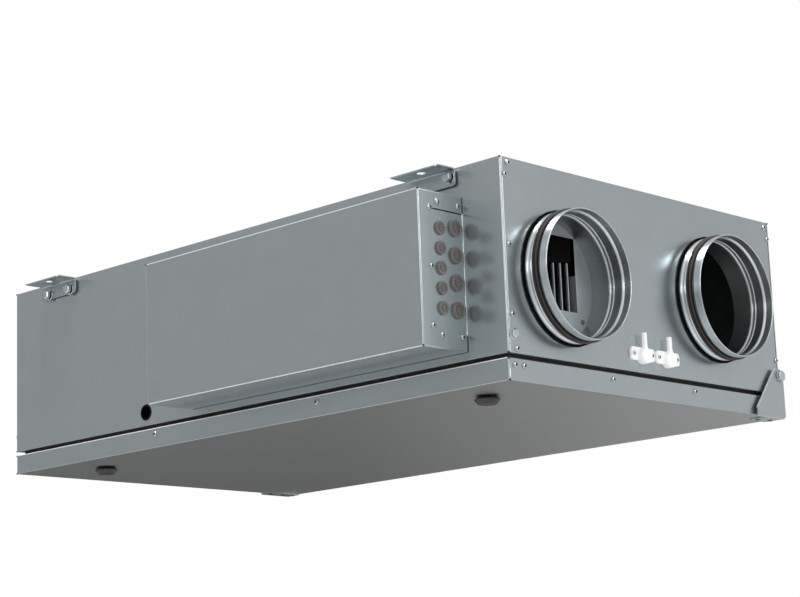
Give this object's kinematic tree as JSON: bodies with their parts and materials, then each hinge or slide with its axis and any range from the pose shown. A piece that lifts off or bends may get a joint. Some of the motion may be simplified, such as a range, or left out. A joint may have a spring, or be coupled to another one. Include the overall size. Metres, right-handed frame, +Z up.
{
  "type": "ceiling air handling unit",
  "caption": "Flat insulated sheet-metal air handling unit hung from a ceiling by angle brackets, with round duct spigots, a side control box and a hinged bottom door.",
  "frame": {"origin": "centre of the four suspension holes, on the top face of the bracket flanges", "axes": "+X along the unit to the end with the pressure taps, +Y across it to the hinge side, +Z up"},
  "size_m": [1.268, 0.81, 0.3425],
  "materials": {
    "galvanised": "satin galvanised sheet",
    "door_underside": "satin galvanised sheet",
    "bright_zinc": "bright zinc",
    "dark_rubber": "matte",
    "grommet_rubber": "matte",
    "black_plastic": "matte",
    "white_plastic": "satin",
    "exchanger_foil": "folded foil",
    "filter_media": "pleated fleece"
  },
  "bodies": {
    "casing": {"top_panel": "galvanised", "near_side_panel": "galvanised", "far_side_panel": "galvanised", "spigot_end_panel": "galvanised", "rear_end_panel": "galvanised", "control_box_cover": "galvanised", "control_box_base": "galvanised", "bracket_near_front": "galvanised", "bracket_near_rear": "galvanised", "bracket_far_front": "galvanised", "bracket_far_rear": "galvanised", "heater_plate": "galvanised", "partition_front": "galvanised", "partition_rear": "galvanised", "supply_spigot": "bright_zinc", "extract_spigot": "bright_zinc", "exhaust_spigot": "bright_zinc", "outdoor_spigot": "bright_zinc", "pivot_bolt_front": "bright_zinc", "pivot_bolt_rear": "bright_zinc", "heater_rods": "bright_zinc", "supply_fan": "bright_zinc", "exhaust_fan": "bright_zinc", "door_gasket": "dark_rubber", "bracket_pads": "dark_rubber", "supply_seal": "dark_rubber", "extract_seal": "dark_rubber", "exhaust_seal": "dark_rubber", "outdoor_seal": "dark_rubber", "small_grommets": "grommet_rubber", "large_grommets": "grommet_rubber", "opening_bush": "black_plastic", "heater_block": "black_plastic", "pressure_tap_left": "white_plastic", "pressure_tap_right": "white_plastic", "heat_exchanger": "exchanger_foil", "extract_filter": "filter_media", "outdoor_filter": "filter_media"},
    "door": {"door_tray": "door_underside", "door_liner": "bright_zinc", "hinge_ear_front": "galvanised", "hinge_ear_rear": "galvanised", "knob_front": "black_plastic", "knob_rear": "black_plastic"}
  },
  "joints": [
    {"name": "door_hinge", "type": "hinge", "parent": "casing", "child": "door", "pos_m": [0, 0.3265, -0.261], "axis": [1, 0, 0], "range_deg": [0, 90]}
  ]
}
